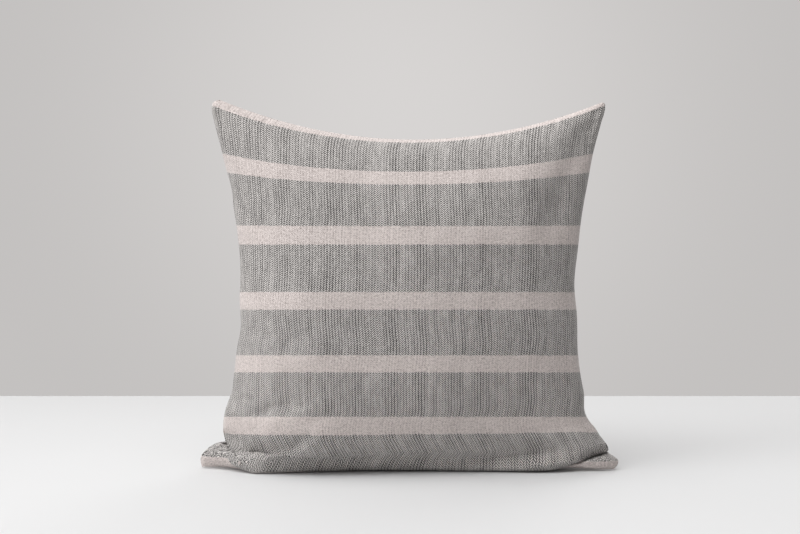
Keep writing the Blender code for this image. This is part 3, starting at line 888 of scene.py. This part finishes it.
def on_back(back, along, up):
    """Points and normals on the fine back at places along the zip and above its middle."""
    u = 0.5 + along / CLOTH_ALONG_ZIP
    v = ZIP_SHARE + up / CUT + 0 * u
    found = face_at(np.concatenate([back, normals_of(back, -1)], -1), u, v)
    return found[:, :3], unit(found[:, 3:])


def bar_tack(back, along):
    """A dense row of upright stitches across one end of the slot."""
    parts = []
    for number in range(9):
        rises = np.linspace(-0.0082, 0.0082, 9)
        points, normals = on_back(back, along + (number - 4) * 0.00044 + 0 * rises, rises)
        parts.append(tube(points + normals * 0.00018, 0.00024, taper=True))
    return parts


def make_zip_stitches(back, material):
    """The topstitching above and below the zip; the upper row has the tacks at its ends."""
    along = np.linspace(-TOPSTITCH_REACH, TOPSTITCH_REACH, 500)
    for half, sign in (("upper", 1), ("lower", -1)):
        line, outward = on_back(back, along, sign * TOPSTITCH_RISE)
        parts = [stitches(line + outward * 0.1 * MM, outward, COVER_STITCH, TOP_THREAD)]
        if sign > 0:
            parts += bar_tack(back, TACK_PLACE) + bar_tack(back, -TACK_PLACE)
        thing = new_object(f"zip_topstitch_{half}", *joined(parts))
        place(thing, "pillow", "sewing_thread", material, f"zip_stitch_{half}")


# ---- zip -----------------------------------------------------------------------------

def make_coils(material):
    """Two nylon coils whose loops reach between each other along the middle."""
    pitch, points_per_turn = 0.00135, 14
    start, end = COIL_ENDS
    turns = int((end - start) / pitch)
    turn = np.arange(turns * points_per_turn + 1) / points_per_turn
    for half, sign in (("upper", 1), ("lower", -1)):
        shift = 0.5 if sign > 0 else 0.0
        angle = 2 * math.pi * turn
        along = start + (turn + shift) * pitch + 0.00018 * np.sin(2 * angle)
        up = sign * (0.00118 + 0.00132 * np.cos(angle))
        out = -0.00112 + 0.00068 * np.sin(angle)
        spine = np.array([arc_point(a, o, u) for a, o, u in zip(along, out, up)])
        thing = new_object(f"zip_teeth_{half}", *tube(spine, 0.00027, 6))
        place(thing, "pillow", "zip_coil", material, f"zip_coil_{half}")


def rounded_outline(low, high, corner, steps=5):
    """A rectangle's outline with round corners."""
    points = []
    centres = ((high[0], high[1]), (low[0], high[1]), (low[0], low[1]), (high[0], low[1]))
    inward = ((-1, -1), (1, -1), (1, 1), (-1, 1))
    for quarter, (centre, way) in enumerate(zip(centres, inward)):
        for step in range(steps + 1):
            angle = math.pi / 2 * (quarter + step / steps)
            points.append((
                centre[0] + way[0] * corner + corner * math.cos(angle),
                centre[1] + way[1] * corner + corner * math.sin(angle),
            ))
    return points


def plate(outlines, thickness, edge):
    """A flat plate, in its own XY plane, with holes and rounded edges."""
    curve = bpy.data.curves.new("plate", "CURVE")
    curve.dimensions = "2D"
    curve.fill_mode = "BOTH"
    curve.extrude = thickness / 2
    for points in outlines:
        outline = curve.splines.new("POLY")
        outline.points.add(len(points) - 1)
        for target, (x, y) in zip(outline.points, points):
            target.co = (x, y, 0.0, 1.0)
        outline.use_cyclic_u = True
    holder = linked("plate", curve)
    settled = holder.evaluated_get(bpy.context.evaluated_depsgraph_get())
    mesh = bpy.data.meshes.new_from_object(settled)
    bpy.data.objects.remove(holder)
    bm = bmesh.new()
    bm.from_mesh(mesh)
    bmesh.ops.remove_doubles(bm, verts=bm.verts[:], dist=1e-6)
    bmesh.ops.dissolve_limit(bm, angle_limit=math.radians(1), verts=bm.verts[:], edges=bm.edges[:])
    corner = math.radians(60)
    sharp = [item for item in bm.edges if item.is_manifold and item.calc_face_angle() > corner]
    bmesh.ops.bevel(bm, geom=sharp, offset=edge, segments=3, profile=0.5, affect="EDGES")
    bmesh.ops.triangulate(bm, faces=[face for face in bm.faces if len(face.verts) > 4])
    bmesh.ops.recalc_face_normals(bm, faces=bm.faces[:])
    bm.to_mesh(mesh)
    bm.free()
    return mesh


def move_to_zip(mesh, along_place):
    """Carry a mesh from (along, up, out) to its place on the zip's arc."""
    angle = along_place / ZIP_RADIUS
    tangent = Vector((math.cos(angle), -math.sin(angle), 0.0))
    radial = Vector((math.sin(angle), math.cos(angle), 0.0))
    origin = Vector(arc_point(along_place))
    for vertex in mesh.vertices:
        along, up, out = vertex.co
        vertex.co = origin + tangent * along + Vector((0.0, 0.0, up)) + radial * out


def shifted(mesh, out):
    """The mesh, moved out from the fabric."""
    for vertex in mesh.vertices:
        vertex.co.z += out
    return mesh


def merge_meshes(meshes):
    """One mesh of several."""
    bm = bmesh.new()
    for mesh in meshes:
        bm.from_mesh(mesh)
    bmesh.ops.recalc_face_normals(bm, faces=bm.faces[:])
    whole = bpy.data.meshes.new("whole")
    bm.to_mesh(whole)
    bm.free()
    return whole


def slider_outline(scale=1.0):
    """Wide shoulders towards the closed end and a narrower tail."""
    half = [
        (6.0, 0.0), (5.9, 1.6), (5.3, 3.0), (4.2, 4.0), (2.8, 4.35), (0.8, 4.1),
        (-2.0, 3.55), (-4.6, 3.2), (-5.6, 2.7), (-6.0, 1.7),
    ]
    whole = half + [(x, -y) for x, y in half[:0:-1]]
    return [(x * scale * MM, y * scale * MM) for x, y in whole]


def bar_mesh(points, radius):
    vertices, faces = tube(points, radius, 8)
    mesh = bpy.data.meshes.new("bar")
    mesh.from_pydata([tuple(v) for v in vertices], [], faces)
    return mesh


def place_metal(name, mesh, along, body, material, node, keep_edges=True):
    """Finish one of the zip's metal pieces, from a mesh made at the origin."""
    move_to_zip(mesh, along)
    mesh.shade_smooth()
    if keep_edges:
        mesh.set_sharp_from_angle(angle=math.radians(50))
    place(linked(name, mesh), body, "zip_metal", material, node)


def make_slider(material):
    """A top and a bottom plate, the two flanges between them and the bridge for the pull."""
    top = shifted(plate([slider_outline()], thickness=0.001, edge=0.0003), 0.0008)
    bottom = plate([slider_outline(0.97)], thickness=0.0009, edge=0.00025)
    parts = [top, shifted(bottom, -0.00375)]
    profile = rounded_outline((-0.0052, -0.0010), (0.0030, 0.0008), 0.0004)
    for side in (1, -1):
        flange = plate([profile], thickness=0.0007, edge=0.00015)
        for vertex in flange.vertices:
            along, deep, across = vertex.co
            vertex.co = (along, side * (0.00365 + across - 0.00008 * along / MM), deep - 0.0003)
        parts.append(flange)
    arch = np.linspace(0, math.pi, 15)
    spine = np.stack([0.0036 * np.cos(arch), 0 * arch, 0.0010 + 0.0030 * np.sin(arch) ** 0.55], 1)
    parts.append(bar_mesh(spine, 0.00062))
    mesh = merge_meshes(parts)
    place_metal("slider_body", mesh, SLIDER_PLACE, "slider", material, "zip_slider")


def make_pull(material):
    """A flat tab with an eye round the slider's bridge and a slot near its far end."""
    outer = rounded_outline((-0.0009, -0.0034), (0.0260, 0.0034), 0.0015)
    for number, (x, y) in enumerate(outer):
        taper = 0.78 + 0.22 * ease(x / 0.016)
        outer[number] = (x, y * float(taper))
    eye = rounded_outline((0.0006, -0.0014), (0.0054, 0.0014), 0.0006)
    hole = rounded_outline((0.0195, -0.0016), (0.0227, 0.0016), 0.00155)
    mesh = plate([outer, eye, hole], thickness=0.0012, edge=0.0003)
    for vertex in mesh.vertices:
        vertex.co.x = -vertex.co.x
        vertex.co.z += 0.00245
    mesh.flip_normals()
    place_metal("slider_pull", mesh, SLIDER_PLACE, "pull", material, "zip_pull")


def make_stops(material):
    """Small rounded blocks over the ends of the coils."""
    top, bottom, outer, inner = TOP_STOPS_PLACE, BOTTOM_STOP_PLACE, 0.0029, 0.0003
    stops = (
        ("zip_end_stop_upper", top, 0.0014, inner, outer, "zip_top_stop_upper"),
        ("zip_end_stop_lower", top, 0.0014, -outer, -inner, "zip_top_stop_lower"),
        ("zip_end_stop_bottom", bottom, 0.0018, -outer, outer, "zip_bottom_stop"),
    )
    for name, along, half_length, low_up, high_up, node in stops:
        outline = rounded_outline((-half_length, low_up), (half_length, high_up), 0.0005)
        mesh = shifted(plate([outline], thickness=0.0020, edge=0.0004), -0.0010)
        place_metal(name, mesh, along, "pillow", material, node, keep_edges=False)


# ---- labels --------------------------------------------------------------------------

def make_label(node, front, back, start_u, way, gap, material):
    """A blank satin label inside the cover, a gap within its back.

    It runs from start_u across the cloth, to the right where way is 1.
    """
    width, height = 0.028, 0.045
    up, across = np.meshgrid(np.linspace(-0.5, 0.5, 15), np.linspace(0, 1, 11), indexing="ij")
    u = start_u + way * across * width / CUT
    v = 0.45 + up * height / CUT
    points = inside_cover(front, back, u, v, gap, -1)
    points[..., 1] += 0.0004 * np.sin(across * 5.0 + up * 3.0)
    faces = grid_faces(grid_ids(u))[:, ::-1]
    thing = new_object(f"{node}_blank", points.reshape(-1, 3), faces)
    thicken(thing, 0.0004)
    place(thing, "pillow", "label_satin", material, node)


# ---- materials -----------------------------------------------------------------------

class Graph:
    """A material's node tree, with short calls for the nodes that the looks use."""

    def __init__(self, name, tree=None):
        if tree is None:
            self.material = bpy.data.materials.new(name)
            self.material.use_nodes = True
            tree = self.material.node_tree
            self.shader = tree.nodes["Principled BSDF"]
        self.tree = tree

    def link(self, value, socket):
        if isinstance(value, bpy.types.NodeSocket):
            self.tree.links.new(value, socket)
        elif value is not None:
            socket.default_value = value

    def math(self, operation, a, b=None, c=None, clamp=False):
        node = self.tree.nodes.new("ShaderNodeMath")
        node.operation = operation
        node.use_clamp = clamp
        for value, socket in zip((a, b, c), node.inputs):
            self.link(value, socket)
        return node.outputs[0]

    def add(self, a, b, clamp=False):
        return self.math("ADD", a, b, clamp=clamp)

    def less(self, a, b):
        return self.math("SUBTRACT", a, b)

    def times(self, a, b):
        return self.math("MULTIPLY", a, b)

    def times_add(self, a, b, c):
        return self.math("MULTIPLY_ADD", a, b, c)

    def ramp(self, value, low, high, out_low=0.0, out_high=1.0):
        node = self.tree.nodes.new("ShaderNodeMapRange")
        node.interpolation_type = "SMOOTHSTEP"
        for socket, setting in zip(node.inputs, (value, low, high, out_low, out_high)):
            self.link(setting, socket)
        return node.outputs[0]

    def mix(self, share, first, second, blend="MIX"):
        node = self.tree.nodes.new("ShaderNodeMix")
        node.data_type = "RGBA"
        node.blend_type = blend
        self.link(share, node.inputs["Factor"])
        for value, number in ((first, 6), (second, 7)):
            if isinstance(value, tuple):
                value = (*value, 1.0)
            self.link(value, node.inputs[number])
        return node.outputs[2]

    def vector(self, x, y, z=0.0):
        node = self.tree.nodes.new("ShaderNodeCombineXYZ")
        for value, socket in zip((x, y, z), node.inputs):
            self.link(value, socket)
        return node.outputs[0]

    def noise(self, vector, scale, detail=2.0, roughness=0.5):
        node = self.tree.nodes.new("ShaderNodeTexNoise")
        self.link(vector, node.inputs["Vector"])
        node.inputs["Scale"].default_value = scale
        node.inputs["Detail"].default_value = detail
        node.inputs["Roughness"].default_value = roughness
        return node.outputs["Fac"]

    def split(self, vector):
        node = self.tree.nodes.new("ShaderNodeSeparateXYZ")
        self.tree.links.new(vector, node.inputs[0])
        return node.outputs

    def coordinates(self, kind):
        return self.tree.nodes.new("ShaderNodeTexCoord").outputs[kind]

    def cloth(self):
        """Millimetres across and up the cloth, and the place in its stripes."""
        node = self.tree.nodes.new("ShaderNodeAttribute")
        node.attribute_name = "cloth"
        return self.split(node.outputs["Vector"])

    def chance(self, value):
        """A number from 0 to 1 that is the same wherever value is."""
        node = self.tree.nodes.new("ShaderNodeTexWhiteNoise")
        node.noise_dimensions = "1D"
        self.link(value, node.inputs["W"])
        return node.outputs["Value"]

    def bump(self, height, strength, distance):
        node = self.tree.nodes.new("ShaderNodeBump")
        node.inputs["Strength"].default_value = strength
        node.inputs["Distance"].default_value = distance
        self.link(height, node.inputs["Height"])
        self.link(node.outputs["Normal"], self.shader.inputs["Normal"])

    def finish(self, colour, roughness, metallic=0.0, sheen=0.0):
        self.link(colour, self.shader.inputs["Base Color"])
        self.link(roughness, self.shader.inputs["Roughness"])
        self.shader.inputs["Metallic"].default_value = metallic
        self.shader.inputs["Sheen Weight"].default_value = sheen
        self.shader.inputs["Sheen Roughness"].default_value = 0.5
        return self.material


CHARCOAL = (0.026, 0.024, 0.023)
OFF_WHITE = (0.81, 0.775, 0.75)
PALE_YARN = (0.73, 0.66, 0.635)
PALE_SHADE = (0.34, 0.295, 0.28)


def woven_cover():
    """A herringbone of off-white floats over charcoal, crossed by plain pale stripes, with painted
    shade in its grooves and on the pale floats.
    """
    graph = Graph("woven_cover")
    across, up, stripe = graph.cloth()
    wale = graph.math("DIVIDE", across, WALE)
    number = graph.math("FLOOR", wale)
    chance = graph.chance(number)
    lean = graph.math("PINGPONG", wale, 1.0)
    phase = graph.add(graph.math("DIVIDE", up, PICK), graph.times(lean, 1.45))
    phase = graph.add(phase, graph.times(chance, 0.35))
    wave = graph.math("SINE", graph.times(phase, 2 * math.pi))
    from_edge = graph.math("ABSOLUTE", graph.less(graph.math("FRACT", wale), 0.5))
    depth = graph.ramp(from_edge, 0.22, 0.44)
    valley = graph.times(depth, graph.ramp(chance, 0.0, 1.0, 0.3, 1.0))
    streak_at = graph.vector(graph.times(number, 7.31), graph.times(up, 0.035))
    streak = graph.less(graph.noise(streak_at, 1.0, 3.0, 0.65), 0.5)
    fibre_at = graph.vector(across, graph.times(up, 0.5))
    fibre = graph.less(graph.noise(fibre_at, 1.9, 3.0, 0.65), 0.5)
    slub = graph.less(graph.noise(graph.vector(across, up), 0.42, 2.0, 0.7), 0.5)
    float_height = graph.ramp(graph.add(wave, graph.times(fibre, 1.6)), -0.5, 0.5)
    # Off-white shows less towards each rib's edges: partly the charcoal ground between the ribs, partly
    # painted shade in the grooves.
    light = graph.times(float_height, graph.less(1.0, graph.times(valley, 0.85)))
    light = graph.add(light, graph.times_add(streak, 0.7, graph.times(slub, 0.75)))
    light = graph.add(light, graph.times(fibre, 0.45), clamp=True)
    grey = graph.mix(light, CHARCOAL, OFF_WHITE)
    # The pale yarn is mixed with PALE_SHADE, a painted shaded copy of it: painted highlight on the
    # float tops, painted shade in the grooves, and random mottle from fibres, slubs and streaks.
    pale_light = graph.times_add(float_height, 0.45, graph.times(valley, -0.3))
    pale_light = graph.add(pale_light, graph.times_add(fibre, 2.0, 0.52))
    pale_light = graph.add(pale_light, graph.times(slub, 2.4))
    pale_light = graph.add(pale_light, graph.times(streak, 0.6), clamp=True)
    pale = graph.mix(pale_light, PALE_SHADE, PALE_YARN)
    # Each rib changes yarn at its own height, so a stripe's edges are finely toothed.
    tooth = graph.times_add(from_edge, 0.016, graph.times(chance, 0.010))
    from_middle = graph.math("FRACT", graph.add(graph.add(stripe, tooth), 0.5))
    from_middle = graph.math("ABSOLUTE", graph.less(from_middle, 0.5))
    in_stripe = graph.ramp(from_middle, STRIPE_HALF + 0.003, STRIPE_HALF - 0.003)
    graph.bump(cover_relief(graph, valley, float_height, fibre), 0.5, 0.0005)
    return graph.finish(graph.mix(in_stripe, grey, pale), 0.92, sheen=0.12)


def cover_relief(graph, valley, float_height, fibre):
    """Height of the cover's cloth: its ribs, the floats on them and their fibres."""
    rib = graph.times_add(valley, -0.6, 0.6)
    height = graph.times_add(float_height, 0.4, rib)
    return graph.times_add(fibre, 0.5, height)


def speckled(
    name, dark, light, scale, roughness, metallic=0.0, sheen=0.0, bump=0.2, distance=0.0002,
):
    """A plain finish with fine variation in its colour, gloss and relief."""
    graph = Graph(name)
    where = graph.coordinates("Object")
    coarse = graph.noise(where, scale, 4.0, 0.6)
    fine = graph.noise(where, scale * 6.0, 2.0, 0.5)
    share = graph.add(graph.times(coarse, 0.6), graph.times(fine, 0.4), clamp=True)
    colour = graph.mix(graph.ramp(share, 0.3, 0.7), dark, light)
    graph.bump(fine, bump, distance)
    rough = graph.ramp(coarse, 0.3, 0.7, roughness * 0.85, min(1.0, roughness * 1.15))
    return graph.finish(colour, rough, metallic, sheen)


def ribbed(name, dark, light, pitch, roughness, sheen=0.1):
    """Woven tape: fine ribs across it and a twill between them."""
    graph = Graph(name)
    where = graph.coordinates("Object")
    x, _, z = graph.split(where)
    ribs = graph.math("SINE", graph.times(z, 2 * math.pi / pitch))
    twill = graph.math("SINE", graph.times(graph.add(x, z), 2 * math.pi / (pitch * 1.4)))
    fine = graph.noise(where, 2500.0)
    share = graph.add(graph.times(ribs, 0.25), graph.times(twill, 0.2))
    share = graph.add(share, fine, clamp=True)
    colour = graph.mix(share, dark, light)
    graph.bump(share, 0.4, 0.0003)
    return graph.finish(colour, roughness, sheen=sheen)


def make_materials():
    """Every material of the pillow by its name."""
    return {
        "woven_cover": woven_cover(),
        "sewing_thread": speckled(
            "sewing_thread", (0.30, 0.28, 0.265), (0.46, 0.43, 0.41), 900.0, 0.75, sheen=0.2,
        ),
        "zip_tape": ribbed("zip_tape", (0.20, 0.19, 0.185), (0.34, 0.325, 0.315), 0.0008, 0.85),
        "zip_coil": speckled(
            "zip_coil", (0.24, 0.23, 0.22), (0.33, 0.315, 0.305), 700.0, 0.38, bump=0.05,
        ),
        "zip_metal": speckled(
            "zip_metal", (0.50, 0.495, 0.485), (0.62, 0.615, 0.60), 260.0, 0.28,
            metallic=1.0, bump=0.04,
        ),
        "insert_cloth": speckled(
            "insert_cloth", (0.72, 0.71, 0.69), (0.86, 0.85, 0.83), 500.0, 0.9, sheen=0.1,
        ),
        "fibre_fill": speckled(
            "fibre_fill", (0.80, 0.80, 0.79), (0.93, 0.93, 0.92), 120.0, 0.95,
            sheen=0.3, bump=0.6, distance=0.002,
        ),
        "label_satin": speckled(
            "label_satin", (0.80, 0.79, 0.77), (0.90, 0.89, 0.87), 800.0, 0.45, sheen=0.2,
        ),
    }


def floor_material():
    graph = Graph("floor")
    where = graph.coordinates("Object")
    colour = graph.mix(graph.noise(where, 3.0), (0.69, 0.695, 0.70), (0.71, 0.715, 0.72))
    return graph.finish(colour, 0.6)


# ---- stage ---------------------------------------------------------------------------

def make_floor():
    near, far, side = -3.0, FLOOR_END, 3.0
    corners = [(-side, near, 0.0), (side, near, 0.0), (side, far, 0.0), (-side, far, 0.0)]
    floor = new_object("floor", corners, [(0, 1, 2, 3)], smooth=False)
    floor.data.materials.append(floor_material())


def add_light(name, location, target, size, energy):
    light = bpy.data.lights.new(name, "AREA")
    light.shape = "DISK"
    light.size = size
    light.energy = energy
    lamp = linked(name, light)
    lamp.location = location
    lamp.rotation_mode = "QUATERNION"
    lamp.rotation_quaternion = (Vector(target) - Vector(location)).to_track_quat("-Z", "Y")


def make_world():
    """A pale grey studio, lightest behind the pillow, with more light from its left."""
    world = bpy.data.worlds.new("studio")
    bpy.context.scene.world = world
    world.use_nodes = True
    graph = Graph(None, world.node_tree)
    x, y, z = graph.split(graph.coordinates("Generated"))
    aside = graph.math("ABSOLUTE", x)
    squares = [graph.math("POWER", value, 2.0) for value in (aside, z)]
    away = graph.math("SQRT", graph.add(*squares))
    glow = graph.ramp(away, 0.0, 0.24, 0.13, 0.0)
    left = graph.ramp(x, -0.3, -1.0, 0.0, 0.55)
    right = graph.ramp(x, 0.3, 1.0, 0.0, -0.34)
    ahead = graph.ramp(y, 0.5, -0.3, 0.0, -0.26)
    level = graph.add(graph.add(left, right), graph.add(glow, 0.55))
    level = graph.math("MAXIMUM", graph.add(level, ahead), 0.10)
    background = world.node_tree.nodes["Background"]
    background.inputs["Color"].default_value = (1.0, 0.972, 0.958, 1.0)
    graph.link(level, background.inputs["Strength"])


def make_lights():
    add_light("key", (-1.7, -0.9, 1.5), (0.0, 0.0, 0.25), 1.4, 18.5)
    add_light("top", (-0.3, -0.5, 2.2), (0.0, 0.0, 0.2), 2.0, 34.0)
    add_light("rear", (0.9, 1.7, 1.5), (0.0, 0.0, 0.2), 1.2, 8.0)


def make_camera():
    data = bpy.data.cameras.new("camera")
    data.lens = LENS
    data.sensor_width = 36.0
    data.clip_end = 50.0
    camera = linked("camera", data)
    camera.location = (EYE_ASIDE, -EYE_DISTANCE, EYE_HEIGHT)
    pitch = math.radians(EYE_PITCH)
    looking = Vector((0.0, math.cos(pitch), -math.sin(pitch)))
    camera.rotation_mode = "QUATERNION"
    camera.rotation_quaternion = looking.to_track_quat("-Z", "Y")
    bpy.context.scene.camera = camera


def main():
    """The stage, then the pillow from its cover inwards, then the zip and the labels."""
    materials = make_materials()
    make_camera()
    make_world()
    make_lights()
    make_floor()
    bpy.context.scene.view_settings.view_transform = "Standard"
    fine_front, fine_back = shape_cover()
    cover = materials["woven_cover"]
    make_front(fine_front, fine_back, cover)
    make_back("cover_back_upper", fine_front, fine_back, True, cover, "back_upper_panel")
    make_back("cover_back_lower", fine_front, fine_back, False, cover, "back_lower_panel")
    shells = make_insert(fine_front, fine_back, materials)
    make_seam_threads(fine_front, fine_back, shells, materials["sewing_thread"])
    make_zip_stitches(fine_back, materials["sewing_thread"])
    make_coils(materials["zip_coil"])
    make_slider(materials["zip_metal"])
    make_pull(materials["zip_metal"])
    make_stops(materials["zip_metal"])
    satin = materials["label_satin"]
    faces = (fine_front, fine_back)
    make_label("care_label", *faces, start_u=0.012, way=1, gap=0.003, material=satin)
    make_label("insert_label", *faces, start_u=0.962, way=-1, gap=0.005, material=satin)
    for node in ("zip_tape_upper", "zip_tape_lower"):
        frame["nodes"][node].data.materials.clear()
        frame["nodes"][node].data.materials.append(materials["zip_tape"])


main()
